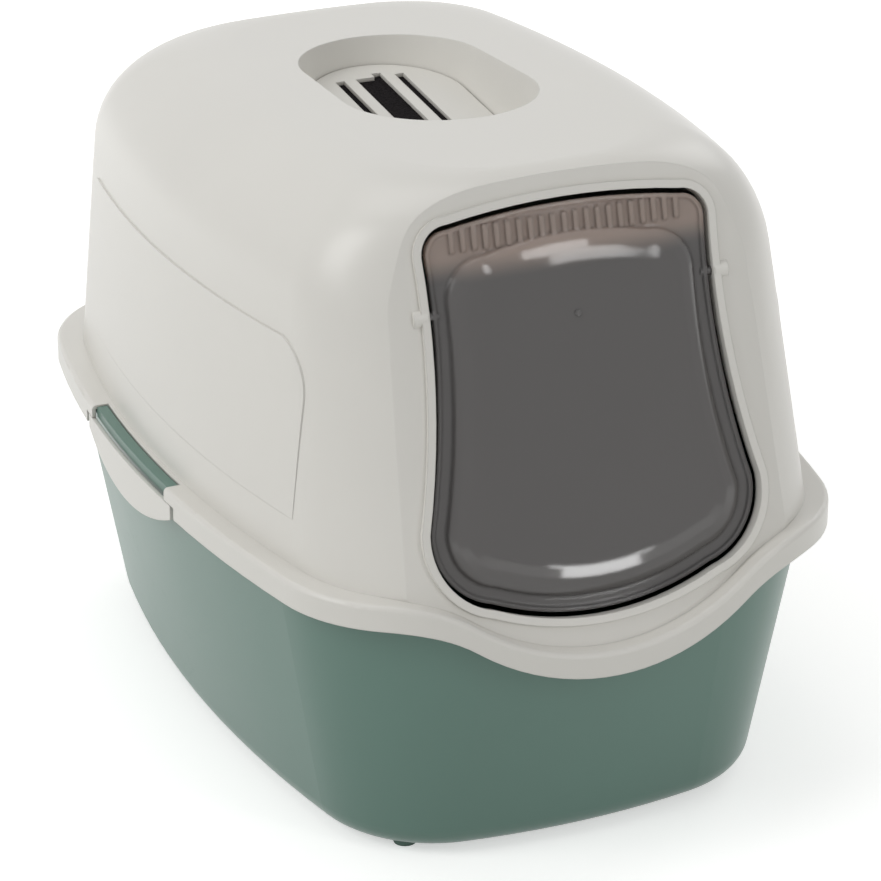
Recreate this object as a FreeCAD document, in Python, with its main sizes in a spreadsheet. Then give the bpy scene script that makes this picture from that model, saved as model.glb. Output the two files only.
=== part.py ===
import FreeCAD
import Part
import Sketcher
import math
import os

# Covered litter box: a pan with a hood that lifts off, a two-way swing flap, two side
# latches and a filter cartridge in a grip scoop in the roof.
# The front faces -Y, +Z is up, and the origin is at the middle of the footprint, on the floor.

Vector = FreeCAD.Vector
X_AXIS = Vector(1, 0, 0)
Y_AXIS = Vector(0, 1, 0)
Z_AXIS = Vector(0, 0, 1)

# Driving dimensions in millimetres, with angles in degrees and shares as plain ratios
SIZES = {
    # Rim outline that the pan and the hood share
    "rim_half_width": 198,
    "rim_half_length": 280,
    "rim_side_radius": 978,
    "rim_end_radius": 509,
    "rim_corner_radius": 89,
    "rim_wave_drop": 45,
    "rim_wave_half_width": 141,
    "rim_wave_bowl_share": 0.62,
    "rim_wave_reach": 130,
    # Pan, drawn in from the rim at its top and again down to its foot
    "pan_top_inset": 8,
    "pan_draw": 33,
    "pan_corner_radius": 120,
    "pan_wall": 2.8,
    "pan_floor": 3,
    "pan_bottom_round": 18,
    "pan_flange_thickness": 2.8,
    "foot_height": 4,
    "foot_radius": 8,
    "foot_draft": 1,
    "foot_side_inset": 54,
    "foot_end_inset": 38,
    # Catch on each side of the pan, seen through the latch slot
    "catch_middle_y": 18,
    "catch_half_length": 68,
    "catch_gap": 0.8,
    # Hood
    "hood_wall": 2.5,
    "hood_seat_gap": 0.4,
    "skirt_low_level": 173,
    "skirt_height": 16,
    "skirt_clearance": 0.8,
    "ledge_round": 3,
    "ledge_side": 14,
    "ledge_front": 8,
    "ledge_rear": 16,
    "dome_height": 225,
    "dome_side_draw": 21,
    "dome_front_draw": 73,
    "dome_rear_draw": 32,
    "dome_side_radius": 900,
    "dome_end_radius": 509,
    "dome_corner_radius": 89,
    "dome_head_corner_radius": 62,
    "roof_flat_half_width": 91,
    "dome_front_round": 24,
    "dome_rear_round": 60,
    "roof_tilt_angle": 2,
    # Raised arch on each side of the hood, which grows from the ledge upwards
    "relief_bulge": 2,
    "relief_front_inset": 102,
    "relief_rear_inset": 108,
    "relief_low": 27,
    "relief_high": 133,
    "relief_round": 34,
    # Front panel and its opening, measured along the panel from the hinge line
    "panel_lean_angle": 16.9,
    "hinge_set_back": 71,
    "hinge_height": 153,
    "panel_flat_half_width": 98,
    "panel_edge_round": 88,
    "panel_edge_angle": 20,
    "opening_top": 51,
    "opening_crown": 6,
    "opening_top_half_width": 92,
    "opening_top_corner": 17,
    "opening_waist": 60,
    "opening_waist_spread": 3,
    "opening_flare": 124,
    "opening_flare_spread": 15,
    "opening_shoulder": 158,
    "opening_shoulder_spread": 5,
    "opening_turn": 174,
    "opening_turn_draw": 20,
    "opening_bottom": 189,
    "lip_width": 5,
    "lip_proud": 2.2,
    "lip_depth": 6,
    # Flap and its pivots
    "flap_gap": 3,
    "flap_thickness": 2.4,
    "flap_set_back": 1.6,
    "flap_rest_angle": 1.5,
    "flap_bead_width": 2.6,
    "flap_bead_height": 1.6,
    "flap_panel_inset": 9,
    "flap_panel_slope": 18,
    "flap_panel_rise": 7,
    "flap_rib_pitch": 7.2,
    "flap_rib_width": 3.2,
    "flap_rib_height": 1.8,
    "flap_rib_top": 48,
    "flap_rib_bottom": 34,
    "flap_panel_top": 31,
    "flap_panel_corner": 26,
    "pivot_radius": 2.6,
    "pivot_clearance": 0.08,
    "pivot_end_gap": 0.5,
    "boss_radius": 5.6,
    "boss_length": 9,
    "boss_floor": 2,
    "pivot_root": 8,
    # Latch tongues in the skirt
    "latch_gap": 0.5,
    "latch_drop": 19.5,
    "latch_notch": 5,
    "latch_overhang": 9,
    "latch_belly": 17.5,
    "slot_height": 8,
    "slot_depth": 11,
    # Roof scoop and filter cartridge
    "scoop_y": 19.5,
    "scoop_depth": 41,
    "scoop_tilt_angle": 6,
    "scoop_half_run": 34.5,
    "scoop_floor_radius": 52,
    "scoop_mouth_radius": 64,
    "scoop_mouth_height": 48,
    "vent_radius": 45,
    "cover_clearance": 0.5,
    "cover_thickness": 2.6,
    "cover_collar_wall": 1.6,
    "cover_collar_depth": 9,
    "cover_lip_width": 2,
    "cover_lip_height": 1.2,
    "slot_wide": 19,
    "slot_narrow": 6,
    "slot_bar": 8,
    "slot_half_length": 67,
    "notch_width": 6,
    "notch_depth": 5,
    "filter_clearance": 0.4,
    "filter_thickness": 7,
    # Spare length that every cutting solid runs past what it cuts
    "overrun": 30,
}

document = FreeCAD.newDocument("covered_litter_box")


def make_sheet():
    """Puts each size in its own cell, named by an alias."""
    cells = document.addObject("Spreadsheet::Sheet", "sizes")
    for row, (name, value) in enumerate(SIZES.items(), start=1):
        cells.set("A%d" % row, name)
        cells.set("B%d" % row, str(value))
        cells.setAlias("B%d" % row, name)
    document.recompute()
    return cells


sheet = make_sheet()


def size(name):
    """Reads one size from the sheet."""
    return float(sheet.get(name))


# Levels and places that follow from the sizes
LEDGE_LEVEL = size("skirt_low_level") + size("skirt_height")
FLANGE_LEVEL = LEDGE_LEVEL - size("hood_wall") - size("hood_seat_gap")
DOME_FOOT_LEVEL = LEDGE_LEVEL - size("rim_wave_drop") - size("hood_wall")
REACH = size("rim_half_length") + size("overrun")
DOME_HEAD_LEVEL = LEDGE_LEVEL + size("dome_height")
DOME_FOOT_HALF_WIDTH = size("rim_half_width") - size("ledge_side")
DOME_SIDE_ROUND = DOME_FOOT_HALF_WIDTH - size("dome_side_draw") - size("roof_flat_half_width")
PANEL_LEAN = math.radians(size("panel_lean_angle"))
PANEL_OUT = Vector(0, -math.cos(PANEL_LEAN), math.sin(PANEL_LEAN))
HINGE = Vector(0, size("hinge_set_back") - size("rim_half_length"), LEDGE_LEVEL + size("hinge_height"))
PANEL_PLACE = FreeCAD.Placement(HINGE, FreeCAD.Rotation(X_AXIS, 90 - size("panel_lean_angle")))
PIVOT_OUT = -size("flap_set_back") - size("flap_thickness") / 2
SCOOP_PLACE = FreeCAD.Placement(Vector(0, size("scoop_y"), DOME_HEAD_LEVEL - size("scoop_depth")),
                                FreeCAD.Rotation(X_AXIS, size("scoop_tilt_angle")))
SLOT_LOW = LEDGE_LEVEL - size("slot_height")
# Below this a direction counts as level
LEVEL_SLOPE = 1e-4
# Degree of the curves that carry the roof from one outline to the next
LOFT_DEGREE = 3


def arc(start, middle, end):
    """Edge of the circle through three points."""
    return Part.Arc(start, middle, end).toShape()


def line(start, end):
    """Straight edge between two points."""
    return Part.LineSegment(start, end).toShape()


def bowed_wire(half_width, front, rear, side_radius, end_radius, corner_radius):
    """Closed outline of bowed sides and ends joined by tangent corner arcs, in the XY plane."""
    half_length = (front + rear) / 2
    side_centre = Vector(half_width - side_radius, 0, 0)
    end_centre = Vector(0, half_length - end_radius, 0)
    between = end_centre - side_centre
    side_reach = side_radius - corner_radius
    end_reach = end_radius - corner_radius
    span = between.Length
    along = (side_reach ** 2 - end_reach ** 2 + span ** 2) / (2 * span)
    across = math.sqrt(side_reach ** 2 - along ** 2)
    unit = between / span
    corner_centre = side_centre + unit * along + Vector(-unit.y, unit.x, 0) * across
    side_turn = math.atan2(corner_centre.y - side_centre.y, corner_centre.x - side_centre.x)
    end_turn = math.atan2(corner_centre.y - end_centre.y, corner_centre.x - end_centre.x)

    def on_circle(centre, radius, turn):
        return centre + Vector(math.cos(turn), math.sin(turn), 0) * radius

    side_point = on_circle(side_centre, side_radius, side_turn)
    end_point = on_circle(end_centre, end_radius, end_turn)
    corner_point = on_circle(corner_centre, corner_radius, (side_turn + end_turn) / 2)
    middle = Vector(0, (rear - front) / 2, 0)

    def place(point, right, back):
        return Vector(point.x * right, point.y * back, 0) + middle

    side_middle = Vector(half_width, 0, 0)
    end_middle = Vector(0, half_length, 0)
    edges = []
    for right, back in ((1, 1), (-1, 1), (-1, -1), (1, -1)):
        before, after = (side_point, end_point) if right == back else (end_point, side_point)
        corner = [place(point, right, back) for point in (before, corner_point, after)]
        edges.append(arc(*corner))
        if right == back:
            edges.append(arc(place(end_point, right, back), place(end_middle, right, back),
                             place(end_point, -right, back)))
        else:
            edges.append(arc(place(side_point, right, back), place(side_middle, right, back),
                             place(side_point, right, -back)))
    return Part.Wire(edges)


def rim_wire(inset):
    """Rim outline, drawn in by an inset."""
    half_length = size("rim_half_length") - inset
    return bowed_wire(size("rim_half_width") - inset, half_length, half_length,
                      size("rim_side_radius") - inset, size("rim_end_radius") - inset,
                      size("rim_corner_radius") - inset)


def rim_prism(inset, low, high):
    """Upright solid on the rim outline between two levels."""
    face = Part.Face(rim_wire(inset))
    face.translate(Z_AXIS * low)
    return face.extrude(Z_AXIS * (high - low))


def wave_edges(level):
    """Line across the front that sweeps down in the middle, from -X to +X."""
    half = size("rim_wave_half_width")
    drop = size("rim_wave_drop")
    turn = 2 * math.atan2(drop, half)
    both_radii = half / math.sin(turn)
    bowl = both_radii * size("rim_wave_bowl_share")
    shoulder = both_radii - bowl
    joint_x = bowl * math.sin(turn)
    joint_z = level - drop + bowl * (1 - math.cos(turn))
    middle_x = half - shoulder * math.sin(turn / 2)
    middle_z = level - shoulder * (1 - math.cos(turn / 2))

    def at(x, z):
        return Vector(x, 0, z)

    return [
        line(at(-REACH, level), at(-half, level)),
        arc(at(-half, level), at(-middle_x, middle_z), at(-joint_x, joint_z)),
        arc(at(-joint_x, joint_z), at(0, level - drop), at(joint_x, joint_z)),
        arc(at(joint_x, joint_z), at(middle_x, middle_z), at(half, level)),
        line(at(half, level), at(REACH, level)),
    ]


def wave_band(low, high):
    """Everything between two levels, where both levels sweep down at the front."""
    edges = wave_edges(high) + wave_edges(low)
    edges.append(line(Vector(-REACH, 0, low), Vector(-REACH, 0, high)))
    edges.append(line(Vector(REACH, 0, low), Vector(REACH, 0, high)))
    front = Part.Face(Part.Wire(Part.__sortEdges__(edges)))
    front.translate(Y_AXIS * -REACH)
    front = front.extrude(Y_AXIS * (REACH - size("rim_wave_reach")))
    rear = Part.makeBox(2 * REACH, REACH + size("rim_wave_reach"), high - low,
                        Vector(-REACH, -size("rim_wave_reach"), low))
    return front.fuse(rear).removeSplitter()


def on_panel(shape, out):
    """Moves a shape drawn as (across, up, out) from the hinge line onto the front panel."""
    shape.translate(Z_AXIS * out)
    shape.Placement = PANEL_PLACE.multiply(shape.Placement)
    return shape


def add_part(label, shape):
    """Adds a finished solid as a sub-part of the document."""
    part = document.addObject("Part::Feature", label)
    part.Label = label
    part.Shape = shape
    return part


def pan_outline(inset):
    """Outline of the pan's wall at the height of its rim, drawn in by an inset."""
    inset += size("pan_top_inset")
    half_length = size("rim_half_length") - inset
    wire = bowed_wire(size("rim_half_width") - inset, half_length, half_length,
                      size("rim_side_radius") - inset, size("rim_end_radius") - inset,
                      size("pan_corner_radius") - inset)
    wire.translate(Z_AXIS * FLANGE_LEVEL)
    return wire


def pan_solid(inset, low):
    """Tapered body of the pan with a rounded bottom edge, drawn in by an inset, from a level up."""
    path = pan_outline(inset)
    first = path.OrderedEdges[0]
    start = first.valueAt(first.FirstParameter)
    inward = Z_AXIS.cross(first.tangentAt(first.FirstParameter))
    lean = math.atan2(size("pan_draw"), FLANGE_LEVEL - size("foot_height"))
    down = inward * math.sin(lean) - Z_AXIS * math.cos(lean)
    foot = start + down * ((FLANGE_LEVEL - low) / math.cos(lean))
    radius = size("pan_bottom_round") - inset
    cut = radius / math.tan((math.pi / 2 + lean) / 2)
    wall_end = foot - down * cut
    floor_end = foot + inward * cut
    centre = floor_end + Z_AXIS * radius
    round_middle = centre + (foot - centre).normalize() * radius
    profile = Part.Wire([
        line(start - down * size("overrun"), wall_end),
        arc(wall_end, round_middle, floor_end),
    ])
    skin = path.makePipeShell([profile], False, False)
    open_edges = [edge for edge in skin.Edges if len(skin.ancestorsOfType(edge, Part.Face)) == 1]
    caps = [Part.Face(Part.Wire(loop)) for loop in Part.sortEdges(open_edges)]
    shell = Part.Shell(skin.Faces + caps)
    shell.sewShape()
    return Part.Solid(shell)


def make_pan():
    """Green pan with a turned-out rim and a catch on each side."""
    foot = size("foot_height")
    over = LEDGE_LEVEL + size("overrun")
    outer = pan_solid(0, foot)
    inner = pan_solid(size("pan_wall"), foot + size("pan_floor"))
    flange_inset = size("hood_wall") + size("skirt_clearance")
    flange = rim_prism(flange_inset, foot, over)
    flange = flange.common(wave_band(FLANGE_LEVEL - size("pan_flange_thickness"), FLANGE_LEVEL))
    body = outer.common(wave_band(-size("overrun"), FLANGE_LEVEL))
    gap = size("catch_gap")
    catches = side_band(-flange_inset, size("slot_depth") - gap, -gap, SLOT_LOW + gap, LEDGE_LEVEL - gap)
    body = body.fuse(flange).fuse(catches).cut(inner)
    return add_part("litter_pan", body.removeSplitter())


def make_feet():
    """Four soft pads under the pan, as one group of solids."""
    feet = []
    side = "sizes.rim_half_width - sizes.pan_top_inset - sizes.pan_draw - sizes.foot_side_inset"
    end = "sizes.rim_half_length - sizes.pan_top_inset - sizes.pan_draw - sizes.foot_end_inset"
    for right in (-1, 1):
        for back in (-1, 1):
            foot = document.addObject("Part::Cone", "foot")
            foot.setExpression("Radius1", "sizes.foot_radius - sizes.foot_draft")
            foot.setExpression("Radius2", "sizes.foot_radius")
            foot.setExpression("Height", "sizes.foot_height")
            foot.setExpression("Placement.Base.x", "(%s) * %d" % (side, right))
            foot.setExpression("Placement.Base.y", "(%s) * %d" % (end, back))
            feet.append(foot)
    group = document.addObject("Part::Compound", "pan_feet")
    group.Label = "pan_feet"
    group.Links = feet
    return group


def edge_round(level, top, radius):
    """How far a wall draws in at a level where its top edge is rounded."""
    lift = max(level - (top - radius), 0)
    return radius - math.sqrt(max(radius ** 2 - lift ** 2, 0))


def dome_section(inset, level, bulge=0):
    """Outline of the hood's body at one level, drawn in by an inset and by its rounded top edge.

    A bulge widens the sides from nothing at the ledge to its full amount at the head.
    """
    top = DOME_HEAD_LEVEL - inset
    share = max((level - LEDGE_LEVEL) / size("dome_height"), 0)

    def half(foot, draw, radius):
        return foot - draw * share - inset - edge_round(level, top, radius - inset)

    corner = size("dome_corner_radius")
    corner += (size("dome_head_corner_radius") - corner) * share
    front = size("rim_half_length") - size("ledge_front")
    rear = size("rim_half_length") - size("ledge_rear")
    wire = bowed_wire(half(DOME_FOOT_HALF_WIDTH, size("dome_side_draw") - bulge, DOME_SIDE_ROUND),
                      half(front, size("dome_front_draw"), size("dome_front_round")),
                      half(rear, size("dome_rear_draw"), size("dome_rear_round")),
                      size("dome_side_radius") - inset, size("dome_end_radius") - inset, corner - inset)
    wire.rotate(Vector(0, size("dome_front_draw") - front, 0), X_AXIS, -size("roof_tilt_angle") * share)
    wire.translate(Z_AXIS * level)
    return wire


def dome_loft(inset, foot_level):
    """Body of the hood above its ledge, drawn in by an inset: ruled walls and a rounded, tilted roof."""
    top = DOME_HEAD_LEVEL - inset
    radius = DOME_SIDE_ROUND - inset
    turns = [math.radians(turn) for turn in range(-15, 91, 15)]
    round_levels = [top - radius * (1 - math.sin(turn)) for turn in turns]
    wall = [dome_section(inset, level) for level in (foot_level, LEDGE_LEVEL, round_levels[0])]
    roof = [dome_section(inset, level) for level in round_levels]
    return Part.makeLoft(wall, True, True).fuse(Part.makeLoft(roof, True, False, False, LOFT_DEGREE))


def panel_space(inset):
    """Everything in front of the front panel, set back by an inset: flat, with edges that roll back."""
    flat = size("panel_flat_half_width")
    radius = size("panel_edge_round") - inset
    turn = math.radians(size("panel_edge_angle"))

    def pair(across, out):
        return Vector(across, 0, out), Vector(-across, 0, out)

    def rolled(angle, past):
        return pair(flat + radius * math.sin(angle) + past * math.cos(turn),
                    -inset - radius * (1 - math.cos(angle)) - past * math.sin(turn))

    start, start_far = pair(flat, -inset)
    middle, middle_far = rolled(turn / 2, 0)
    end, end_far = rolled(turn, 0)
    tail, tail_far = rolled(turn, REACH)
    front, front_far = pair(tail.x, REACH)
    outline = Part.Wire([
        line(front_far, tail_far),
        line(tail_far, end_far),
        arc(end_far, middle_far, start_far),
        line(start_far, start),
        arc(start, middle, end),
        line(end, tail),
        line(tail, front),
        line(front, front_far),
    ])
    space = Part.Face(outline).extrude(Y_AXIS * (2 * REACH))
    space.translate(Y_AXIS * -REACH)
    return on_panel(space, 0)


def side_relief():
    """Raised arch on both sides of the hood, as a wider body cut to the arch's outline."""
    front = size("relief_front_inset") - size("rim_half_length")
    rear = size("rim_half_length") - size("relief_rear_inset")
    low = LEDGE_LEVEL + size("relief_low")
    high = LEDGE_LEVEL + size("relief_high")
    radius = size("relief_round")
    slack = radius * (1 - math.sqrt(2) / 2)

    def at(y, z):
        return Vector(-REACH, y, z)

    outline = Part.Wire([
        line(at(front, low), at(front, high - radius)),
        arc(at(front, high - radius), at(front + slack, high - slack), at(front + radius, high)),
        line(at(front + radius, high), at(rear - radius, high)),
        arc(at(rear - radius, high), at(rear - slack, high - slack), at(rear, high - radius)),
        line(at(rear, high - radius), at(rear, low)),
        line(at(rear, low), at(front, low)),
    ])
    block = Part.Face(outline).extrude(X_AXIS * (2 * REACH))
    walls = [dome_section(0, level, size("relief_bulge")) for level in (LEDGE_LEVEL, high)]
    return Part.makeLoft(walls, True, True).common(block)


def rim_edges(block):
    """Outer edges of a rim block, between its upright side and its top."""
    chosen = []
    for edge in block.Edges:
        slopes = []
        for face in block.ancestorsOfType(edge, Part.Face):
            first_u, last_u, first_v, last_v = face.ParameterRange
            slopes.append(face.normalAt((first_u + last_u) / 2, (first_v + last_v) / 2).z)
        straight_across = edge.BoundBox.YLength < LEVEL_SLOPE
        if max(slopes) > LEVEL_SLOPE and min(map(abs, slopes)) < LEVEL_SLOPE and not straight_across:
            chosen.append(edge)
    return chosen


def skirt_block():
    """Skirt and ledge of the hood before they are hollowed, with a rounded upper edge."""
    block = rim_prism(0, DOME_FOOT_LEVEL - size("overrun"), LEDGE_LEVEL)
    block = block.common(wave_band(size("skirt_low_level"), LEDGE_LEVEL)).removeSplitter()
    return block.makeFillet(size("ledge_round"), rim_edges(block))


def bell_wire(top, corner, inset):
    """Bell-shaped outline of the entrance as (across, up), with its own top, drawn in by an inset."""
    half = size("opening_top_half_width")
    slack = corner * (1 - math.sqrt(2) / 2)

    def pair(across, up):
        return Vector(across, up, 0), Vector(-across, up, 0)

    head, head_far = pair(half - corner, top)
    corner_middle, corner_middle_far = pair(half - slack, top - slack)
    side, side_far = pair(half, top - corner)
    waist, waist_far = pair(half + size("opening_waist_spread"), -size("opening_waist"))
    flare, flare_far = pair(half + size("opening_flare_spread"), -size("opening_flare"))
    shoulder, shoulder_far = pair(half + size("opening_shoulder_spread"), -size("opening_shoulder"))
    turn, turn_far = pair(half - size("opening_turn_draw"), -size("opening_turn"))
    wire = Part.Wire([
        arc(head, Vector(0, top + size("opening_crown"), 0), head_far),
        arc(head_far, corner_middle_far, side_far),
        arc(side_far, waist_far, flare_far),
        arc(flare_far, shoulder_far, turn_far),
        arc(turn_far, Vector(0, -size("opening_bottom"), 0), turn),
        arc(turn, shoulder, flare),
        arc(flare, waist, side),
        arc(side, corner_middle, head),
    ])
    return wire.makeOffset2D(-inset) if inset else wire


def entrance_wire(inset):
    """Outline of the entrance, drawn in by an inset or let out by a negative one."""
    return bell_wire(size("opening_top"), size("opening_top_corner"), inset)


def slab(wire, thickness):
    """Solid of one thickness on a flat outline."""
    return Part.Face(wire).extrude(Z_AXIS * thickness)


def side_band(outset, inset, stretch, low, high):
    """Strip along both sides between two offsets from the rim, over the latch and a stretch past its ends."""
    half = size("catch_half_length") + stretch
    block = Part.makeBox(2 * REACH, 2 * half, high - low,
                         Vector(-REACH, size("catch_middle_y") - half, low))
    ring = rim_prism(-outset, low, high).cut(rim_prism(inset, low, high))
    return ring.common(block)


def scoop_space(offset):
    """Long scoop in the roof, two half cones with straight sides between, let out by an offset."""
    flare = (size("scoop_mouth_radius") - size("scoop_floor_radius")) / size("scoop_mouth_height")
    side = offset * math.sqrt(1 + flare ** 2)
    low = size("scoop_floor_radius") + side - flare * offset
    high = size("scoop_mouth_radius") + side
    top = size("scoop_mouth_height")
    run = size("scoop_half_run")
    corners = [Vector(-low, -run, -offset), Vector(low, -run, -offset),
               Vector(high, -run, top), Vector(-high, -run, top)]
    space = Part.Face(Part.makePolygon(corners + corners[:1])).extrude(Y_AXIS * (2 * run))
    ends = [Part.makeCone(low, high, top + offset, Vector(0, end, -offset)) for end in (-run, run)]
    space = space.fuse(ends).removeSplitter()
    space.Placement = SCOOP_PLACE
    return space


def vent_space():
    """Opening through the scoop's floor for the filter cartridge."""
    run = size("scoop_half_run")
    radius = size("vent_radius")
    over = size("overrun")
    right = Vector(radius, run, -over)
    left = Vector(-radius, run, -over)
    front_left = Vector(-radius, -run, -over)
    front_right = Vector(radius, -run, -over)
    outline = Part.Wire([
        arc(right, Vector(0, run + radius, -over), left),
        line(left, front_left),
        arc(front_left, Vector(0, -run - radius, -over), front_right),
        line(front_right, right),
    ])
    space = slab(outline, 2 * over)
    space.Placement = SCOOP_PLACE
    return space


def pivot_rod(radius, start, length, right):
    """Round rod on the flap's swing axis, on one side."""
    rod = Part.makeCylinder(radius, length, Vector(start * right, 0, 0), X_AXIS * right)
    return on_panel(rod, PIVOT_OUT)


def make_hood():
    """White hood: dome, ledge and skirt, with the entrance, latch slots and roof scoop cut in."""
    wall = size("hood_wall")
    over = size("overrun")
    dome = dome_loft(0, DOME_FOOT_LEVEL).fuse(side_relief()).cut(panel_space(0))
    inner = dome_loft(wall, DOME_FOOT_LEVEL - over).cut(panel_space(wall))
    under = rim_prism(wall, DOME_FOOT_LEVEL - over, LEDGE_LEVEL)
    under = under.common(wave_band(DOME_FOOT_LEVEL - over, LEDGE_LEVEL - wall))
    lip = slab(entrance_wire(-size("lip_width")), size("lip_depth") + size("lip_proud"))
    lip = on_panel(lip, -size("lip_depth"))
    entrance = on_panel(slab(entrance_wire(0), 2 * over), -over)
    slots = side_band(over, size("slot_depth"), 0, SLOT_LOW, LEDGE_LEVEL + over)
    tongue_stretch = size("latch_overhang") + size("latch_notch")
    gaps = side_band(over, wall + size("skirt_clearance"), tongue_stretch,
                     size("skirt_low_level") - over, SLOT_LOW)
    body = dome.fuse(skirt_block()).cut(inner).cut(under)
    body = body.fuse(scoop_space(wall).common(dome)).cut(scoop_space(0))
    boss_start = size("opening_top_half_width")
    bosses = [pivot_rod(size("boss_radius"), boss_start, size("boss_length"), right) for right in (-1, 1)]
    body = body.fuse(bosses).fuse(lip).cut(vent_space()).cut(entrance).cut(slots).cut(gaps)
    bore = size("pivot_radius") + size("pivot_clearance")
    bore_start = boss_start - size("pivot_root")
    bore_length = size("pivot_root") + size("boss_length") - size("boss_floor")
    for right in (-1, 1):
        body = body.cut(pivot_rod(bore, bore_start, bore_length, right))
    return add_part("hood", body.removeSplitter())


def make_flap():
    """Smoked swing flap: rimmed plate with a raised panel, a ribbed band and two stub pivots."""
    thickness = size("flap_thickness")
    gap = size("flap_gap")
    low = -size("flap_set_back") - thickness
    face = -size("flap_set_back")
    plate = on_panel(slab(entrance_wire(gap), thickness), low)
    bead = slab(entrance_wire(gap), size("flap_bead_height"))
    bead = bead.cut(slab(entrance_wire(gap + size("flap_bead_width")), size("flap_bead_height")))
    plate = plate.fuse(on_panel(bead, face))
    foot_inset = gap + size("flap_panel_inset")

    def raised(narrow, rise):
        top = size("flap_panel_top") + foot_inset
        corner = size("flap_panel_corner") + foot_inset
        sections = []
        for turn in map(math.radians, (0, 22.5, 45, 67.5, 90)):
            draw = size("flap_panel_slope") * (1 - math.cos(turn))
            section = bell_wire(top, corner, foot_inset + narrow + draw)
            section.translate(Z_AXIS * (rise * math.sin(turn)))
            sections.append(section)
        return Part.makeLoft(sections, True, True)

    plate = plate.fuse(on_panel(raised(0, size("flap_panel_rise")), face))
    plate = plate.cut(on_panel(raised(thickness / 2, size("flap_panel_rise")), low))
    ribs = []
    count = int((size("opening_top_half_width") - size("opening_top_corner")) / size("flap_rib_pitch"))
    for step in range(-count, count + 1):
        rib = Part.makeBox(size("flap_rib_width"), size("flap_rib_top") - size("flap_rib_bottom"),
                           size("flap_rib_height"))
        rib.translate(Vector(step * size("flap_rib_pitch") - size("flap_rib_width") / 2,
                             size("flap_rib_bottom"), 0))
        ribs.append(on_panel(rib, face))
    plate = plate.fuse(ribs)
    start = size("opening_top_half_width") - size("pivot_root")
    length = size("pivot_root") + size("boss_length") - size("boss_floor") - size("pivot_end_gap")
    for right in (-1, 1):
        plate = plate.fuse(pivot_rod(size("pivot_radius"), start, length, right))
    plate = plate.removeSplitter()
    plate.rotate(HINGE + PANEL_OUT * PIVOT_OUT, X_AXIS, size("flap_rest_angle"))
    return add_part("flap", plate)


def make_latch(label, right):
    """Springy tongue of the skirt that snaps over the pan's catch on one side."""
    top = SLOT_LOW - size("latch_gap")
    low = size("skirt_low_level") - size("latch_drop")
    band = side_band(0, size("hood_wall"), size("latch_overhang"), low, top)
    half = size("catch_half_length") + size("latch_overhang")
    middle = size("catch_middle_y")
    shoulder = low + size("latch_belly")

    def at(along, level):
        return Vector(0, middle + along, level)

    outline = Part.Wire([
        line(at(-half, top), at(half, top)),
        line(at(half, top), at(half, shoulder)),
        arc(at(half, shoulder), at(0, low), at(-half, shoulder)),
        line(at(-half, shoulder), at(-half, top)),
    ])
    block = Part.Face(outline).extrude(X_AXIS * (REACH * right))
    return add_part(label, band.common(block))


def new_sketch(body, name):
    """Sketch on a body's own XY plane."""
    plane = next(item for item in body.Origin.OriginFeatures if item.Role == "XY_Plane")
    sketch = body.newObject("Sketcher::SketchObject", name)
    sketch.AttachmentSupport = [(plane, "")]
    sketch.MapMode = "FlatFace"
    return sketch


def draw_long(sketch, expression):
    """Outline of two half circles and straight sides, whose radius follows an expression of the sheet."""
    radius = size("vent_radius")
    run = size("scoop_half_run")
    arcs = []
    for end, first, last in ((run, 0, math.pi), (-run, math.pi, 2 * math.pi)):
        circle = Part.Circle(Vector(0, end, 0), Z_AXIS, radius)
        arcs.append(sketch.addGeometry(Part.ArcOfCircle(circle, first, last)))
    rear, front = arcs
    left = sketch.addGeometry(Part.LineSegment(Vector(-radius, run, 0), Vector(-radius, -run, 0)))
    right = sketch.addGeometry(Part.LineSegment(Vector(radius, -run, 0), Vector(radius, run, 0)))
    for before, after in ((rear, left), (left, front), (front, right), (right, rear)):
        sketch.addConstraint(Sketcher.Constraint("Tangent", before, 2, after, 1))
    sketch.addConstraint(Sketcher.Constraint("Vertical", left))
    for end in arcs:
        sketch.addConstraint(Sketcher.Constraint("PointOnObject", end, 3, -2))
    size_rule = sketch.addConstraint(Sketcher.Constraint("Radius", rear, radius))
    sketch.setExpression("Constraints[%d]" % size_rule, expression)
    for end, place, sign in ((rear, run, ""), (front, -run, "-")):
        rule = sketch.addConstraint(Sketcher.Constraint("DistanceY", -1, 1, end, 3, place))
        sketch.setExpression("Constraints[%d]" % rule, sign + "sizes.scoop_half_run")


def draw_slot(sketch, left, right, near, far):
    """Rectangle between two places across and two along, each an expression of the sheet."""
    unit = size("slot_bar")
    corners = [Vector(-unit, -unit, 0), Vector(unit, -unit, 0), Vector(unit, unit, 0), Vector(-unit, unit, 0)]
    sides = []
    for turn in range(4):
        sides.append(sketch.addGeometry(Part.LineSegment(corners[turn], corners[(turn + 1) % 4])))
    for turn in range(4):
        sketch.addConstraint(Sketcher.Constraint("Coincident", sides[turn], 2, sides[(turn + 1) % 4], 1))
    for turn in (0, 2):
        sketch.addConstraint(Sketcher.Constraint("Horizontal", sides[turn]))
        sketch.addConstraint(Sketcher.Constraint("Vertical", sides[turn + 1]))
    near_side, far_side = sides[0], sides[-2]
    places = [("DistanceX", near_side, left), ("DistanceX", far_side, right),
              ("DistanceY", near_side, near), ("DistanceY", far_side, far)]
    for kind, side, expression in places:
        index = sketch.addConstraint(Sketcher.Constraint(kind, -1, 1, side, 1, unit))
        sketch.setExpression("Constraints[%d]" % index, expression)


def add_pocket(body, sketch, name, depth):
    """Cuts a sketch down into a body's top plate, and stops if nothing was cut."""
    document.recompute()
    whole = body.Shape.Volume
    pocket = body.newObject("PartDesign::Pocket", name)
    pocket.Profile = sketch
    pocket.Reversed = True
    pocket.setExpression("Length", depth)
    document.recompute()
    if body.Shape.Volume >= whole:
        raise RuntimeError("%s cuts nothing" % name)


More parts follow.
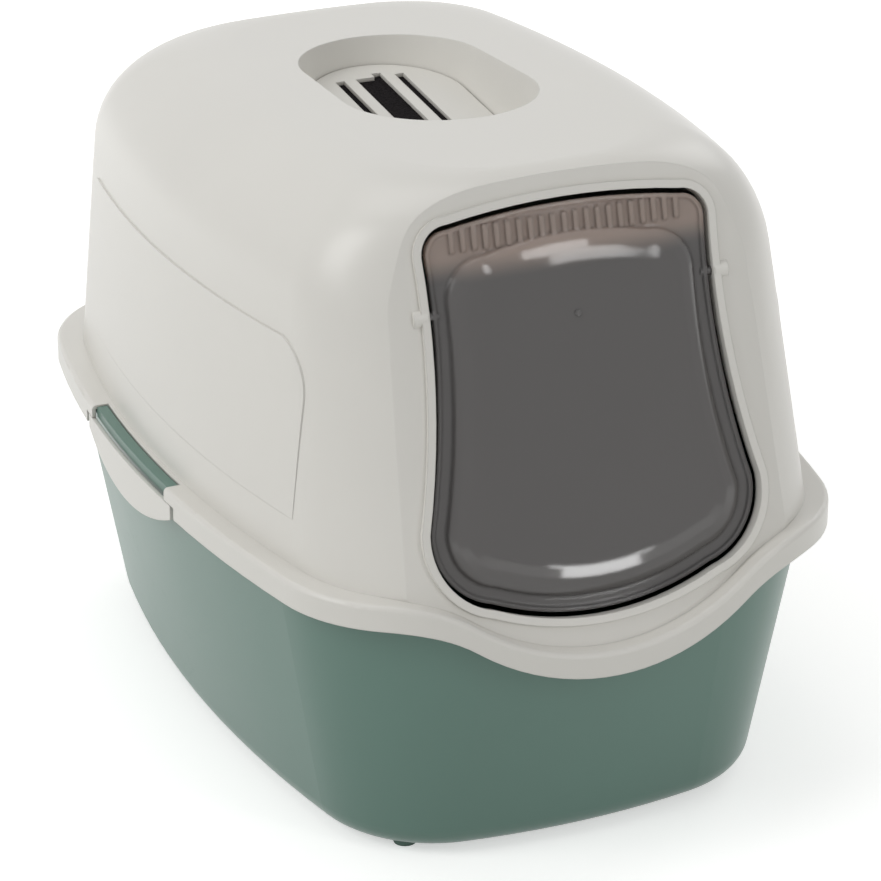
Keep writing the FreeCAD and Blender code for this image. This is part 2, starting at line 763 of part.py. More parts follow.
def seat_in_scoop(body):
    """Places a body of the filter cartridge on the scoop's floor."""
    document.recompute()
    lift = FreeCAD.Placement(Z_AXIS * size("hood_seat_gap"), FreeCAD.Rotation())
    body.Placement = SCOOP_PLACE.multiply(lift)
    return body


def make_cover():
    """Long grille over the filter: a slotted plate with a lipped collar that holds the filter."""
    body = document.addObject("PartDesign::Body", "filter_cover")
    body.Label = "filter_cover"
    disc = new_sketch(body, "cover_disc")
    draw_long(disc, "sizes.scoop_floor_radius - sizes.cover_clearance")
    plate = body.newObject("PartDesign::Pad", "cover_plate")
    plate.Profile = disc
    plate.setExpression("Length", "sizes.cover_thickness")
    outside = "sizes.vent_radius - sizes.cover_clearance"
    inside = outside + " - sizes.cover_collar_wall"
    ring = new_sketch(body, "cover_ring")
    draw_long(ring, outside)
    draw_long(ring, inside)
    collar = body.newObject("PartDesign::Pad", "cover_collar")
    collar.Profile = ring
    collar.Reversed = True
    collar.setExpression("Length", "sizes.cover_collar_depth")
    lip_ring = new_sketch(body, "cover_lip_ring")
    lip_ring.setExpression("AttachmentOffset.Base.z", "-sizes.cover_collar_depth")
    draw_long(lip_ring, outside)
    draw_long(lip_ring, inside + " - sizes.cover_lip_width")
    lip = body.newObject("PartDesign::Pad", "cover_lip")
    lip.Profile = lip_ring
    lip.setExpression("Length", "sizes.cover_lip_height")
    slots = new_sketch(body, "cover_slots")
    inner = "sizes.slot_wide / 2"
    near = inner + " + sizes.slot_bar"
    far = near + " + sizes.slot_narrow"
    back = "sizes.slot_half_length"
    draw_slot(slots, "-(" + inner + ")", inner, "-" + back, back)
    draw_slot(slots, near, far, "-" + back, back)
    draw_slot(slots, "-(" + far + ")", "-(" + near + ")", "-" + back, back)
    add_pocket(body, slots, "cover_openings", "sizes.cover_thickness")
    notch = new_sketch(body, "cover_notch")
    draw_slot(notch, inner + " - sizes.notch_width", inner, back + " - sizes.notch_depth",
              back + " + sizes.notch_depth")
    add_pocket(body, notch, "cover_finger_notch", "sizes.cover_thickness")
    return seat_in_scoop(body)


def make_filter():
    """Black carbon filter pad inside the cover's collar."""
    body = document.addObject("PartDesign::Body", "carbon_filter")
    body.Label = "carbon_filter"
    disc = new_sketch(body, "filter_disc")
    draw_long(disc, "sizes.vent_radius - sizes.cover_clearance - sizes.cover_collar_wall"
                      " - sizes.filter_clearance")
    pad = body.newObject("PartDesign::Pad", "filter_pad")
    pad.Profile = disc
    pad.Reversed = True
    pad.setExpression("Length", "sizes.filter_thickness")
    return seat_in_scoop(body)


def check_and_write(parts):
    """Stops on any failed object or bad solid, then writes each sub-part to its file."""
    document.recompute()
    for item in document.Objects:
        if {"Invalid", "Error"} & set(item.State):
            raise RuntimeError("%s failed: %s" % (item.Label, item.State))
    for part in parts:
        if part.Shape.isNull() or not part.Shape.isValid():
            raise RuntimeError("%s has no valid shape" % part.Label)
        print(part.Label, len(part.Shape.Solids), "solids", round(part.Shape.Volume), "mm3")
    os.makedirs("parts", exist_ok=True)
    for part in parts:
        part.Shape.exportStep("parts/%s.step" % part.Label)


check_and_write([
    make_pan(),
    make_feet(),
    make_hood(),
    make_cover(),
    make_filter(),
    make_flap(),
    make_latch("left_latch", -1),
    make_latch("right_latch", 1),
])
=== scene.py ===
"""Looks of a covered litter box: finishes of its mouldings, a small moulded mark, stage, light and camera."""

import logging
import math
from dataclasses import dataclass
from enum import Enum
from typing import ClassVar

import bpy
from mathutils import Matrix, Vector


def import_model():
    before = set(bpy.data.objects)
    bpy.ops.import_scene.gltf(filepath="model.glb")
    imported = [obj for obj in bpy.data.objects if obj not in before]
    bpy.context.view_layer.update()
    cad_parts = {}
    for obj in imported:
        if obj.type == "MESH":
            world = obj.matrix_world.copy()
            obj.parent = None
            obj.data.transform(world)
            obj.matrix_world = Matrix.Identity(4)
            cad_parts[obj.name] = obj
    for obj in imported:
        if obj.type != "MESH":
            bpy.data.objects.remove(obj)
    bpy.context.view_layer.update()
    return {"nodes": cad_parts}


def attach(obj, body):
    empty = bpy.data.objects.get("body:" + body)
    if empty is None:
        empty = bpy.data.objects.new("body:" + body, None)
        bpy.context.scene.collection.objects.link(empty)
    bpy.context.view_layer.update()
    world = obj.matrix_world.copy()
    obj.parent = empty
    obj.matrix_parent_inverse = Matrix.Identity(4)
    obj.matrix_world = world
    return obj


LOG = logging.getLogger("litter_box")

Colour = tuple[float, float, float]
Place = tuple[float, float, float]
Socket = bpy.types.NodeSocket


class Piece(Enum):
    """Pieces that the frame already holds, by their names there."""

    LITTER_PAN = "litter_pan"
    PAN_FEET = "pan_feet"
    HOOD = "hood"
    FILTER_COVER = "filter_cover"
    CARBON_FILTER = "carbon_filter"
    FLAP = "flap"
    LEFT_LATCH = "left_latch"
    RIGHT_LATCH = "right_latch"


class Body(Enum):
    """Rigid bodies that carry the sub-assemblies, by their names in the frame."""

    PAN = "pan"
    HOOD = "hood"
    FLAP = "flap"
    CARTRIDGE = "filter_cartridge"


class Slot(Enum):
    """Material slots of the record."""

    HOOD = "hood_plastic"
    PAN = "pan_plastic"
    FLAP = "flap_plastic"
    FILTER = "filter_foam"
    FOOT = "foot_rubber"


class Sum(Enum):
    """Sums that the node writer places."""

    ADD = "ADD"
    SUBTRACT = "SUBTRACT"
    MULTIPLY = "MULTIPLY"
    MULTIPLY_ADD = "MULTIPLY_ADD"
    MAXIMUM = "MAXIMUM"


class Blend(Enum):
    """Ways to mix two colours."""

    MIX = "MIX"
    MULTIPLY = "MULTIPLY"


SCREEN_TOP = 255
TOE_END = 0.04045
TOE_SLOPE = 12.92
CURVE_OFFSET = 0.055
CURVE_POWER = 2.4


def linear(red: int, green: int, blue: int) -> Colour:
    """Turns a screen colour into a linear one.

    Args:
        red: Red from 0 to 255.
        green: Green from 0 to 255.
        blue: Blue from 0 to 255.

    Returns:
        The colour as linear shares of light.
    """
    def channel(value: int) -> float:
        """Turns one channel into a share of light."""
        share = value / SCREEN_TOP
        if share <= TOE_END:
            return share / TOE_SLOPE
        return ((share + CURVE_OFFSET) / (1 + CURVE_OFFSET)) ** CURVE_POWER

    return channel(red), channel(green), channel(blue)


def scaled(colour: Colour, factor: float) -> Colour:
    """Makes a linear colour lighter or darker by a factor."""
    red, green, blue = colour
    return red * factor, green * factor, blue * factor


class NodeWriter:
    """Places nodes in a tree and links them, so that a finish reads as a list of steps."""

    # The colour mixer keeps its sockets for numbers and vectors too, so those for colours go by place.
    mix_inputs: ClassVar[tuple[int, int, int]] = (0, 6, 7)
    mix_result: ClassVar[int] = 2

    def __init__(self, tree: bpy.types.NodeTree) -> None:
        """Starts on an emptied tree.

        Args:
            tree: Node tree of a material, a group or the world.
        """
        self.tree = tree
        self.tree.nodes.clear()

    def add(self, kind: str, **settings: object) -> bpy.types.Node:
        """Adds one node.

        Args:
            kind: Blender's name of the node type.
            settings: Node properties, and sockets by name with spaces as underscores.

        Returns:
            The new node.
        """
        node = self.tree.nodes.new(kind)
        for name, value in settings.items():
            if hasattr(node, name):
                setattr(node, name, value)
            else:
                node.inputs[name.replace("_", " ")].default_value = value
        return node

    def link(self, source: Socket, target: Socket) -> None:
        """Joins an output to an input."""
        self.tree.links.new(source, target)

    def feed(self, target: Socket, value: Socket | Colour | float) -> None:
        """Gives an input its value.

        Args:
            target: Input to set.
            value: An output to link, a colour or a number.
        """
        if isinstance(value, Socket):
            self.link(value, target)
        elif isinstance(value, tuple):
            target.default_value = (*value, 1)
        else:
            target.default_value = value

    def own_place(self) -> Socket:
        """Gives the place of each point in the piece's own frame."""
        return self.add("ShaderNodeTexCoord").outputs["Object"]

    def maths(self, operation: Sum, *values: Socket | float) -> Socket:
        """Adds a sum of two or three values.

        Args:
            operation: The sum.
            values: Numbers or output sockets.

        Returns:
            The result's socket.
        """
        node = self.add("ShaderNodeMath", operation=operation.value)
        for target, value in zip(node.inputs, values):
            self.feed(target, value)
        return node.outputs[0]

    def mix(self, share: Socket | float, first: Socket | Colour, second: Socket | Colour,
            blend: Blend = Blend.MIX) -> Socket:
        """Mixes two colours.

        Args:
            share: Share of the second colour.
            first: First colour.
            second: Second colour.
            blend: How the second colour goes over the first.

        Returns:
            The mixed colour's socket.
        """
        node = self.add("ShaderNodeMix", data_type="RGBA", blend_type=blend.value)
        for index, value in zip(self.mix_inputs, (share, first, second)):
            self.feed(node.inputs[index], value)
        return node.outputs[self.mix_result]

    def ramp(self, value: Socket, low: float, high: float, to_low: float = 0, to_high: float = 1) -> Socket:
        """Maps a value from one range to another, smoothly and held at its ends.

        Args:
            value: Socket to map.
            low: Start of the range.
            high: End of the range.
            to_low: Result at the start.
            to_high: Result at the end.

        Returns:
            The mapped value's socket.
        """
        node = self.add("ShaderNodeMapRange", interpolation_type="SMOOTHSTEP")
        for target, given in zip(node.inputs, (value, low, high, to_low, to_high)):
            self.feed(target, given)
        return node.outputs[0]


@dataclass(frozen=True)
class Noise:
    """A cloudy pattern, laid out in the piece's own frame."""

    scale: Socket | float
    detail: float
    roughness: float = 0.5
    twist: float = 0.0

    def place(self, writer: NodeWriter, place: Socket) -> bpy.types.Node:
        """Puts the pattern into a tree.

        Args:
            writer: Writer on the tree.
            place: Socket with the place of each point.

        Returns:
            The pattern's node.
        """
        node = writer.add("ShaderNodeTexNoise", Detail=self.detail, Roughness=self.roughness,
                          Distortion=self.twist)
        writer.feed(node.inputs["Scale"], self.scale)
        writer.link(place, node.inputs["Vector"])
        return node


class NodeGroup:
    """A shared surface effect, built once as a shader node group."""

    title: ClassVar[str] = "effect"
    inputs: ClassVar[tuple[tuple[str, str, object], ...]] = ()
    outputs: ClassVar[tuple[tuple[str, str], ...]] = ()

    def tree(self) -> bpy.types.NodeTree:
        """Gives the group's tree, built at its first use.

        Returns:
            The group's tree.
        """
        found = bpy.data.node_groups.get(self.title)
        if found:
            return found
        tree = bpy.data.node_groups.new(self.title, "ShaderNodeTree")
        for name, kind, value in self.inputs:
            socket = tree.interface.new_socket(name, in_out="INPUT", socket_type=kind)
            socket.default_value = value
        for name, kind in self.outputs:
            tree.interface.new_socket(name, in_out="OUTPUT", socket_type=kind)
        writer = NodeWriter(tree)
        self.fill(writer, writer.add("NodeGroupInput"), writer.add("NodeGroupOutput"))
        return tree

    def fill(self, writer: NodeWriter, given: bpy.types.Node, result: bpy.types.Node) -> None:
        """Writes the group's nodes.

        Args:
            writer: Writer on the group's tree.
            given: Node with the group's inputs.
            result: Node with the group's outputs.
        """
        raise NotImplementedError

    def place(self, writer: NodeWriter, **values: Socket | Colour | float) -> bpy.types.Node:
        """Puts the group into a material.

        Args:
            writer: Writer on the material's tree.
            values: Numbers, colours or sockets for the group's inputs, with spaces as underscores.

        Returns:
            The group's node.
        """
        node = writer.add("ShaderNodeGroup", node_tree=self.tree())
        for name, value in values.items():
            writer.feed(node.inputs[name.replace("_", " ")], value)
        return node


@dataclass(frozen=True)
class MouldedSkin(NodeGroup):
    """Skin of a moulding: slow mottling, fine orange peel and handling scuffs."""

    title: ClassVar[str] = "moulded_skin"
    inputs: ClassVar[tuple[tuple[str, str, object], ...]] = (
        ("Colour", "NodeSocketColor", (0.5, 0.5, 0.5, 1)),
        ("Mottle", "NodeSocketFloat", 0.04),
        ("Roughness", "NodeSocketFloat", 0.35),
        ("Roughness Spread", "NodeSocketFloat", 0.08),
        ("Peel Scale", "NodeSocketFloat", 700.0),
        ("Scuffs", "NodeSocketFloat", 0.3),
    )
    outputs: ClassVar[tuple[tuple[str, str], ...]] = (
        ("Colour", "NodeSocketColor"),
        ("Roughness", "NodeSocketFloat"),
        ("Height", "NodeSocketFloat"),
    )

    clouds: Noise = Noise(7.0, 3.0, 0.55)
    peel_detail: float = 2.0
    scratches: Noise = Noise(55.0, 6.0, 0.7, 1.2)
    cloud_middle: float = 0.5
    cloud_gain: float = 2.0
    scuff_start: float = 0.56
    scuff_stop: float = 0.74

    def fill(self, writer: NodeWriter, given: bpy.types.Node, result: bpy.types.Node) -> None:
        """Writes the group's nodes.

        Args:
            writer: Writer on the group's tree.
            given: Node with the group's inputs.
            result: Node with the group's outputs.
        """
        place = writer.own_place()
        clouds = self.clouds.place(writer, place)
        peel = Noise(given.outputs["Peel Scale"], self.peel_detail).place(writer, place)
        scratches = self.scratches.place(writer, place)

        drift = writer.maths(Sum.SUBTRACT, clouds.outputs["Fac"], self.cloud_middle)
        tone = writer.maths(Sum.MULTIPLY, drift, given.outputs["Mottle"])
        tone = writer.maths(Sum.MULTIPLY_ADD, tone, self.cloud_gain, 1.0)
        grey = writer.add("ShaderNodeCombineColor")
        for channel in grey.inputs:
            writer.link(tone, channel)
        colour = writer.mix(1.0, given.outputs["Colour"], grey.outputs[0], Blend.MULTIPLY)
        writer.link(colour, result.inputs["Colour"])

        scuffs = writer.ramp(scratches.outputs["Fac"], self.scuff_start, self.scuff_stop)
        scuffs = writer.maths(Sum.MULTIPLY, scuffs, given.outputs["Scuffs"])
        change = writer.maths(Sum.ADD, drift, scuffs)
        rough = writer.maths(Sum.MULTIPLY_ADD, change, given.outputs["Roughness Spread"],
                             given.outputs["Roughness"])
        writer.link(rough, result.inputs["Roughness"])
        writer.link(peel.outputs["Fac"], result.inputs["Height"])


@dataclass(frozen=True)
class CreaseShadeAndGrime(NodeGroup):
    """Painted shade with faint grime: darkens creases and the undersides of edges, in patches, where ambient
    occlusion finds them closed.
    """

    title: ClassVar[str] = "crease_shade_and_grime"
    inputs: ClassVar[tuple[tuple[str, str, object], ...]] = (
        ("Colour", "NodeSocketColor", (0.5, 0.5, 0.5, 1)),
        ("Grime Colour", "NodeSocketColor", (0.1, 0.09, 0.08, 1)),
        ("Amount", "NodeSocketFloat", 0.3),
        ("Reach", "NodeSocketFloat", 0.012),
    )
    outputs: ClassVar[tuple[tuple[str, str], ...]] = (("Colour", "NodeSocketColor"),)

    rays: int = 8
    open_start: float = 0.75
    open_stop: float = 0.15
    patches: Noise = Noise(40.0, 4.0)
    patch_start: float = 0.2
    patch_stop: float = 0.7
    thin_share: float = 0.5

    def fill(self, writer: NodeWriter, given: bpy.types.Node, result: bpy.types.Node) -> None:
        """Writes the group's nodes.

        Args:
            writer: Writer on the group's tree.
            given: Node with the group's inputs.
            result: Node with the group's outputs.
        """
        # Painted shade: the ambient occlusion mask darkens closed creases, thinned in patches as faint grime.
        shade = writer.add("ShaderNodeAmbientOcclusion", samples=self.rays, only_local=False)
        writer.link(given.outputs["Reach"], shade.inputs["Distance"])
        closed = writer.ramp(shade.outputs["AO"], self.open_start, self.open_stop)
        patches = self.patches.place(writer, writer.own_place())
        thickness = writer.ramp(patches.outputs["Fac"], self.patch_start, self.patch_stop, self.thin_share, 1.0)
        share = writer.maths(Sum.MULTIPLY, closed, thickness)
        share = writer.maths(Sum.MULTIPLY, share, given.outputs["Amount"])
        colour = writer.mix(share, given.outputs["Colour"], given.outputs["Grime Colour"])
        writer.link(colour, result.inputs["Colour"])


@dataclass(frozen=True)
class Finish:
    """What all finishes share: a name, the slot of the record that they fill, and a colour."""

    title: str
    slot: Slot
    colour: Colour

    def material(self) -> bpy.types.Material:
        """Gives the finish's material, built at its first use.

        Returns:
            The material.
        """
        found = bpy.data.materials.get(self.title)
        if found:
            return found
        material = bpy.data.materials.new(self.title)
        material.use_nodes = True
        writer = NodeWriter(material.node_tree)
        shader = self.surface(writer)
        output = writer.add("ShaderNodeOutputMaterial")
        writer.link(shader.outputs["BSDF"], output.inputs["Surface"])
        LOG.info("mixed %s for %s", self.title, self.slot.value)
        return material

    def surface(self, writer: NodeWriter) -> bpy.types.Node:
        """Writes the finish's own nodes.

        Args:
            writer: Writer on the material's tree.

        Returns:
            The shader.
        """
        raise NotImplementedError


EDGE_SAMPLES = 4


def skin_shader(writer: NodeWriter, skin: bpy.types.Node, strength: float, depth: float,
                edge_radius: float, **settings: float) -> bpy.types.Node:
    """Makes the shader of a moulded skin, with its peel and softly rounded edges.

    Args:
        writer: Writer on the material's tree.
        skin: Node of the skin's group.
        strength: Strength of the peel.
        depth: Depth of the peel.
        edge_radius: Radius to which edges look rounded.
        settings: Values for the shader's own sockets.

    Returns:
        The shader, with its colour still to link.
    """
    bump = writer.add("ShaderNodeBump", Strength=strength, Distance=depth)
    writer.link(skin.outputs["Height"], bump.inputs["Height"])
    edge = writer.add("ShaderNodeBevel", samples=EDGE_SAMPLES, Radius=edge_radius)
    writer.link(edge.outputs["Normal"], bump.inputs["Normal"])
    shader = writer.add("ShaderNodeBsdfPrincipled", **settings)
    writer.link(skin.outputs["Roughness"], shader.inputs["Roughness"])
    writer.link(bump.outputs["Normal"], shader.inputs["Normal"])
    return shader


@dataclass(frozen=True)
class MouldedFinish(Finish):
    """Finish of an opaque moulded piece."""

    # Colour of the painted shade, with faint grime, in creases and under edges.
    shade_and_grime: Colour
    roughness: float
    mottle: float = 0.03
    scuffs: float = 0.35
    spread: float = 0.10
    peel_scale: float = 620.0
    peel_strength: float = 0.35
    peel_depth: float = 0.00004
    shade_and_grime_amount: float = 0.25
    edge_radius: float = 0.0012
    refraction: float = 1.49

    def surface(self, writer: NodeWriter) -> bpy.types.Node:
        """Writes the finish's own nodes.

        Args:
            writer: Writer on the material's tree.

        Returns:
            The shader.
        """
        skin = MouldedSkin().place(writer, Colour=self.colour, Mottle=self.mottle, Roughness=self.roughness,
                                   Roughness_Spread=self.spread, Peel_Scale=self.peel_scale, Scuffs=self.scuffs)
        # Painted shade, with faint grime, darkens the colour in creases and under edges.
        shade_and_grime = CreaseShadeAndGrime().place(writer, Colour=skin.outputs["Colour"], Grime_Colour=self.shade_and_grime,
                                    Amount=self.shade_and_grime_amount)
        shader = skin_shader(writer, skin, self.peel_strength, self.peel_depth, self.edge_radius,
                             IOR=self.refraction)
        writer.link(shade_and_grime.outputs["Colour"], shader.inputs["Base Color"])
        return shader


@dataclass(frozen=True)
class SmokedFinish(Finish):
    """Finish of the translucent flap, with painted light that makes the ribbed band at its top lighter and
    warmer.
    """

    painted_light_band_colour: Colour
    painted_light_low: float = 0.358
    painted_light_high: float = 0.374
    roughness: float = 0.04
    spread: float = 0.03
    mottle: float = 0.05
    scuffs: float = 0.5
    peel_scale: float = 240.0
    peel_strength: float = 0.12
    peel_depth: float = 0.00002
    transmission: float = 0.4
    edge_radius: float = 0.0035
    refraction: float = 1.5

    def surface(self, writer: NodeWriter) -> bpy.types.Node:
        """Writes the finish's own nodes.

        Args:
            writer: Writer on the material's tree.

        Returns:
            The shader.
        """
        # Painted light: the colour turns lighter and warmer towards the top of the flap, in its ribbed band.
        height = writer.add("ShaderNodeSeparateXYZ")
        writer.link(writer.own_place(), height.inputs["Vector"])
        painted_light_share = writer.ramp(height.outputs["Z"], self.painted_light_low, self.painted_light_high)
        colour = writer.mix(painted_light_share, self.colour, self.painted_light_band_colour)
        skin = MouldedSkin().place(writer, Colour=colour, Mottle=self.mottle, Roughness=self.roughness,
                                   Roughness_Spread=self.spread, Peel_Scale=self.peel_scale, Scuffs=self.scuffs)
        shader = skin_shader(writer, skin, self.peel_strength, self.peel_depth, self.edge_radius,
                             IOR=self.refraction, Transmission_Weight=self.transmission)
        writer.link(skin.outputs["Colour"], shader.inputs["Base Color"])
        return shader


@dataclass(frozen=True)
class FoamFinish(Finish):
    """Finish of the black carbon foam, with open pores painted darker than their walls as shade."""

    pore_scale: float = 650.0
    pore_start: float = 0.15
    pore_stop: float = 0.6
    wall_gain: float = 2.2
    pore_strength: float = 0.9
    pore_depth: float = 0.0008
    roughness: float = 0.95
    refraction: float = 1.2

    def surface(self, writer: NodeWriter) -> bpy.types.Node:
        """Writes the finish's own nodes.

        Args:
            writer: Writer on the material's tree.

        Returns:
            The shader.
        """
        cells = writer.add("ShaderNodeTexVoronoi", Scale=self.pore_scale)
        writer.link(writer.own_place(), cells.inputs["Vector"])
        walls = writer.ramp(cells.outputs["Distance"], self.pore_start, self.pore_stop)
        # Painted shade: pore hollows keep the dark colour and the walls between them turn lighter.
        colour = writer.mix(walls, self.colour, scaled(self.colour, self.wall_gain))
        bump = writer.add("ShaderNodeBump", Strength=self.pore_strength, Distance=self.pore_depth)
        writer.link(walls, bump.inputs["Height"])
        shader = writer.add("ShaderNodeBsdfPrincipled", Roughness=self.roughness, IOR=self.refraction)
        writer.link(colour, shader.inputs["Base Color"])
        writer.link(bump.outputs["Normal"], shader.inputs["Normal"])
        return shader


# The second colour of each moulded finish is its painted crease shade, with faint grime.
HOOD_WHITE = MouldedFinish("hood_off_white", Slot.HOOD, linear(222, 220, 214), linear(150, 142, 130),
                           roughness=0.33)
PAN_SAGE = MouldedFinish("pan_sage_green", Slot.PAN, linear(94, 126, 115), linear(40, 53, 48), roughness=0.30,
                         mottle=0.05)
FOOT_SAGE = MouldedFinish("foot_soft_green", Slot.FOOT, linear(96, 122, 112), linear(48, 58, 54), roughness=0.7,
                          scuffs=0.8)
# The flap's second colour is the painted light of its ribbed top band.
FLAP_SMOKE = SmokedFinish("flap_smoke", Slot.FLAP, linear(114, 111, 110), linear(188, 170, 159))
FILTER_BLACK = FoamFinish("filter_carbon_black", Slot.FILTER, linear(17, 15, 16))


@dataclass
class SubAssembly:
    """Pieces that belong together, each with its finish."""

    nodes: dict[str, bpy.types.Object]

    body: ClassVar[Body]
    finishes: ClassVar[dict[Piece, Finish]]

    def build(self) -> None:
        """Makes the meshes that the frame doesn't hold: none, unless a sub-assembly says so."""

    def dress(self) -> None:
        """Gives each piece of the frame its finish."""
        for piece, finish in self.finishes.items():
            node = self.nodes[piece.value]
            node.data.materials.clear()
            node.data.materials.append(finish.material())
            LOG.info("dressed %s of the %s with %s", node.name, self.body.value, finish.title)


@dataclass
class LitterPan(SubAssembly):
    """The pan and the four feet that it stands on."""

    body: ClassVar[Body] = Body.PAN
    finishes: ClassVar[dict[Piece, Finish]] = {Piece.LITTER_PAN: PAN_SAGE, Piece.PAN_FEET: FOOT_SAGE}


@dataclass
class Hood(SubAssembly):
    """The hood, with the two latch tongues in its skirt."""

    body: ClassVar[Body] = Body.HOOD
    finishes: ClassVar[dict[Piece, Finish]] = {
        Piece.HOOD: HOOD_WHITE,
        Piece.LEFT_LATCH: HOOD_WHITE,
        Piece.RIGHT_LATCH: HOOD_WHITE,
    }


@dataclass
class FilterCartridge(SubAssembly):
    """The slotted cover in the roof and the carbon filter under it."""

    body: ClassVar[Body] = Body.CARTRIDGE
    finishes: ClassVar[dict[Piece, Finish]] = {
        Piece.FILTER_COVER: HOOD_WHITE,
        Piece.CARBON_FILTER: FILTER_BLACK,
    }


@dataclass
class SwingFlap(SubAssembly):
    """The smoked flap, with the small round scar that the moulding gate leaves on its raised panel."""

    body: ClassVar[Body] = Body.FLAP
    finishes: ClassVar[dict[Piece, Finish]] = {Piece.FLAP: FLAP_SMOKE}

    # Rings of the scar from its foot to its middle, as shares of its radius and height.
    ring_shares: ClassVar[tuple[tuple[float, float], ...]] = ((1.0, -0.5), (1.0, 0.6), (0.8, 1.0), (0.45, 0.5))

    hinge: Place = (0.0, -0.209, 0.342)
    lean: float = 16.9
    scar_up: float = -0.011
    scar_out: float = 0.0053
    scar_radius: float = 0.0022
    scar_height: float = 0.0006
    scar_sides: int = 32

    def place(self, across: float, up: float, out: float) -> Vector:
        """Turns a place on the flap into one in the frame.

        Args:
            across: Distance to the right of the middle.
            up: Distance up the flap from its hinge line.
            out: Distance in front of the entrance's plane.

        Returns:
            The place in the frame.
        """
        lean = math.radians(self.lean)
        along = Vector((0, math.sin(lean), math.cos(lean)))
        front = Vector((0, -math.cos(lean), math.sin(lean)))
        return Vector(self.hinge) + Vector((across, 0, 0)) + along * up + front * out

    def ring(self, radius: float, out: float) -> list[Vector]:
        """Gives the points of one ring of the scar.

        Args:
            radius: The ring's radius.
            out: Its distance in front of the entrance's plane.

        Returns:
            The ring's points, in turn.
        """
        points = []
        for side in range(self.scar_sides):
            turn = 2 * math.pi * side / self.scar_sides
            points.append(self.place(radius * math.cos(turn), self.scar_up + radius * math.sin(turn), out))
        return points

    def build(self) -> None:
        """Makes the scar as a low dished button that rides on the flap."""
        sides = self.scar_sides
        points = []
        faces = []
        for number, (radius_share, height_share) in enumerate(self.ring_shares):
            points += self.ring(self.scar_radius * radius_share,
                                self.scar_out + self.scar_height * height_share)
            if number == 0:
                continue
            low, high = (number - 1) * sides, number * sides
            for side in range(sides):
                after = (side + 1) % sides
                faces.append((low + side, low + after, high + after, high + side))
        faces.append(tuple(range(len(points) - sides, len(points))))
        mesh = bpy.data.meshes.new("flap_gate_mark")
        mesh.from_pydata(points, [], faces)
        mesh.materials.append(FLAP_SMOKE.material())
        mark = bpy.data.objects.new("flap_gate_mark", mesh)
        bpy.context.scene.collection.objects.link(mark)
        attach(mark, Body.FLAP.value)
        LOG.info("built %s", mark.name)


def seen_share(writer: NodeWriter) -> Socket:
    """Tells rays that see the surroundings from rays that light the box.

    Rays that come by way of a shiny or clear piece count as seeing too.

    Args:
        writer: Writer on the tree of the floor or the world.

    Returns:
        A socket that is one for rays that see and zero for rays that light.
    """
    path = writer.add("ShaderNodeLightPath")
    seen = writer.maths(Sum.MAXIMUM, path.outputs["Is Camera Ray"], path.outputs["Is Glossy Ray"])
    return writer.maths(Sum.MAXIMUM, seen, path.outputs["Is Transmission Ray"])


@dataclass(frozen=True)
class Lamp:
    """A soft rectangular lamp that faces a point of the box."""

    title: str
    place: Place
    width: float
    height: float
    power: float
    aim: Place = (0.0, 0.0, 0.2)

    def build(self) -> None:
        """Hangs the lamp."""
        light = bpy.data.lights.new(self.title, "AREA")
        light.shape = "RECTANGLE"
        light.size = self.width
        light.size_y = self.height
        light.energy = self.power
        lamp = bpy.data.objects.new(self.title, light)
        lamp.location = self.place
        away = Vector(self.aim) - Vector(self.place)
        lamp.rotation_euler = away.to_track_quat("-Z", "Y").to_euler()
        bpy.context.scene.collection.objects.link(lamp)
        LOG.info("hung %s", self.title)


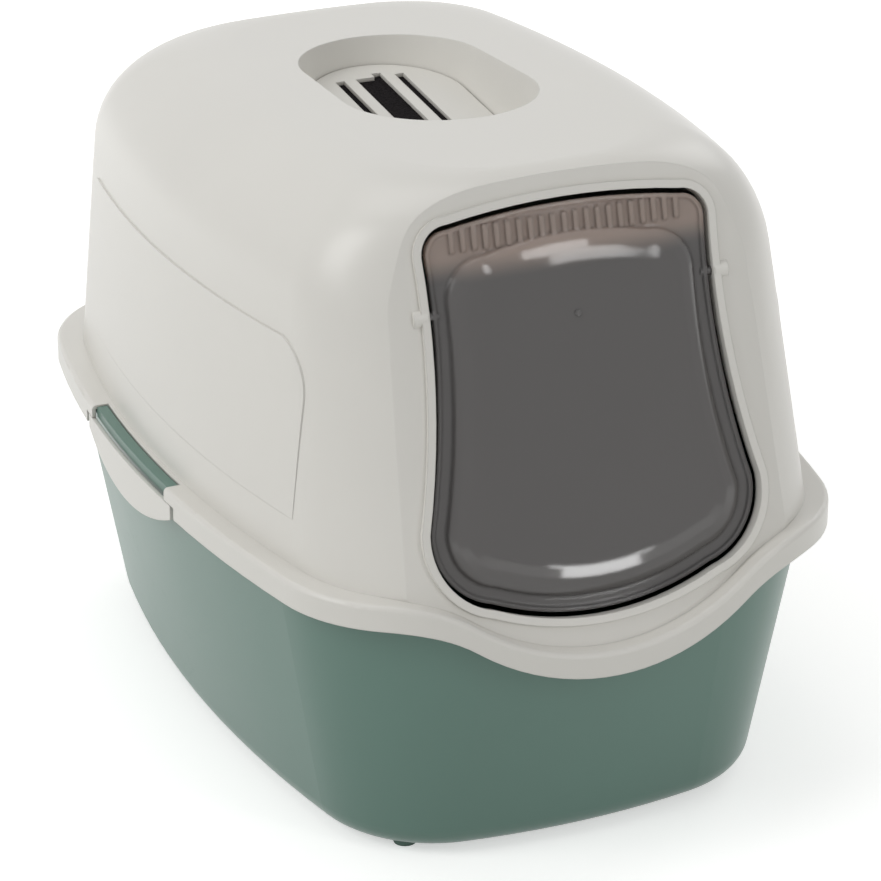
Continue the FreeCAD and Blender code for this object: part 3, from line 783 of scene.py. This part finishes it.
@dataclass
class Studio:
    """Floor, lamps and world around the box."""

    # The two cards are small lamps that show as bright patches in the flap's upper and lower slopes.
    lamps: ClassVar[tuple[Lamp, ...]] = (
        Lamp("key_lamp", place=(-2.8, -0.2, 2.2), width=1.6, height=1.6, power=34.0),
        Lamp("top_lamp", place=(-0.4, 0.6, 3.0), width=2.0, height=2.0, power=16.0),
        Lamp("fill_lamp", place=(2.8, 1.6, 2.0), width=1.6, height=1.6, power=11.0),
        Lamp("high_card", place=(1.46, -2.98, 1.95), width=0.42, height=1.60, power=11.5,
             aim=(0.0, -0.216, 0.363)),
        Lamp("low_card", place=(0.61, -1.62, 0.095), width=0.15, height=0.17, power=0.85,
             aim=(0.0, -0.258, 0.18)),
    )

    floor_half: float = 6.0
    floor_colour: Colour = linear(236, 236, 234)
    floor_clouds: Noise = Noise(3.0, 2.0)
    floor_shade: float = 0.985
    floor_roughness: float = 0.9
    near_glow: float = 0.52
    far_glow: float = 1.0
    glow_start: float = 0.7
    glow_stop: float = 1.8
    world_strength: float = 0.40
    seen_strength: float = 1.0

    def build(self) -> None:
        """Makes the floor, the world and the lamps."""
        self.floor()
        self.world()
        for lamp in self.lamps:
            lamp.build()

    def floor(self) -> None:
        """Lays a plain pale floor."""
        half = self.floor_half
        corners = [(-half, -half, 0), (half, -half, 0), (half, half, 0), (-half, half, 0)]
        mesh = bpy.data.meshes.new("floor")
        mesh.from_pydata(corners, [], [(0, 1, 2, 3)])
        mesh.materials.append(self.paper())
        floor = bpy.data.objects.new("floor", mesh)
        bpy.context.scene.collection.objects.link(floor)
        LOG.info("laid %s", floor.name)

    def paper(self) -> bpy.types.Material:
        """Makes the floor's paper, which is seen lighter than it is lit, and white further out.

        Returns:
            The material.
        """
        material = bpy.data.materials.new("floor_paper")
        material.use_nodes = True
        writer = NodeWriter(material.node_tree)
        place = writer.own_place()
        clouds = self.floor_clouds.place(writer, place)
        darker = scaled(self.floor_colour, self.floor_shade)
        colour = writer.mix(clouds.outputs["Fac"], darker, self.floor_colour)
        reach = writer.add("ShaderNodeVectorMath", operation="LENGTH")
        writer.link(place, reach.inputs[0])
        far = writer.ramp(reach.outputs["Value"], self.glow_start, self.glow_stop)
        glow = writer.mix(far, (self.near_glow,) * 3, (self.far_glow,) * 3)
        glow = writer.mix(seen_share(writer), (0.0, 0.0, 0.0), glow)
        shader = writer.add("ShaderNodeBsdfPrincipled", Roughness=self.floor_roughness, Emission_Strength=1.0)
        writer.link(colour, shader.inputs["Base Color"])
        writer.link(glow, shader.inputs["Emission Color"])
        output = writer.add("ShaderNodeOutputMaterial")
        writer.link(shader.outputs["BSDF"], output.inputs["Surface"])
        return material

    def world(self) -> None:
        """Surrounds the box with plain soft light, white where it is seen."""
        world = bpy.data.worlds.new("studio")
        bpy.context.scene.world = world
        world.use_nodes = True
        writer = NodeWriter(world.node_tree)
        strength = writer.ramp(seen_share(writer), 0, 1, self.world_strength, self.seen_strength)
        background = writer.add("ShaderNodeBackground", Color=(1, 1, 1, 1))
        writer.link(strength, background.inputs["Strength"])
        output = writer.add("ShaderNodeOutputWorld")
        writer.link(background.outputs["Background"], output.inputs["Surface"])


@dataclass
class Viewpoint:
    """Camera at the photograph's place and angle."""

    azimuth: float = -24.126
    elevation: float = 23.377
    distance: float = 2.4746
    target: Place = (0.0, 0.0, 0.1881)
    lens: float = 158.27
    sensor: float = 36.0
    shift_x: float = 0.0181
    shift_y: float = -0.0380

    def build(self) -> None:
        """Sets up the scene's camera."""
        data = bpy.data.cameras.new("photo_camera")
        data.sensor_width = self.sensor
        data.lens = self.lens
        data.shift_x = self.shift_x
        data.shift_y = self.shift_y
        data.dof.use_dof = False
        camera = bpy.data.objects.new("photo_camera", data)
        turn = math.radians(self.azimuth)
        rise = math.radians(self.elevation)
        away = Vector((math.sin(turn) * math.cos(rise), -math.cos(turn) * math.cos(rise), math.sin(rise)))
        camera.location = Vector(self.target) + away * self.distance
        camera.rotation_euler = (-away).to_track_quat("-Z", "Y").to_euler()
        bpy.context.scene.collection.objects.link(camera)
        bpy.context.scene.camera = camera
        LOG.info("set up %s", camera.name)


def corners(box: tuple[Vector, Vector]) -> list[list[float]]:
    """Writes a box as two plain lists of numbers."""
    return [list(map(float, corner)) for corner in box]


def main() -> None:
    """Dresses the frame and sets the stage."""
    logging.basicConfig(level=logging.INFO, format="%(name)s: %(message)s")
    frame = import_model()
    nodes = frame["nodes"]
    for assembly in (LitterPan(nodes), Hood(nodes), FilterCartridge(nodes), SwingFlap(nodes)):
        assembly.build()
        assembly.dress()
    Studio().build()
    Viewpoint().build()
    bpy.context.scene.view_settings.view_transform = "Standard"


if __name__ == "__main__":
    main()
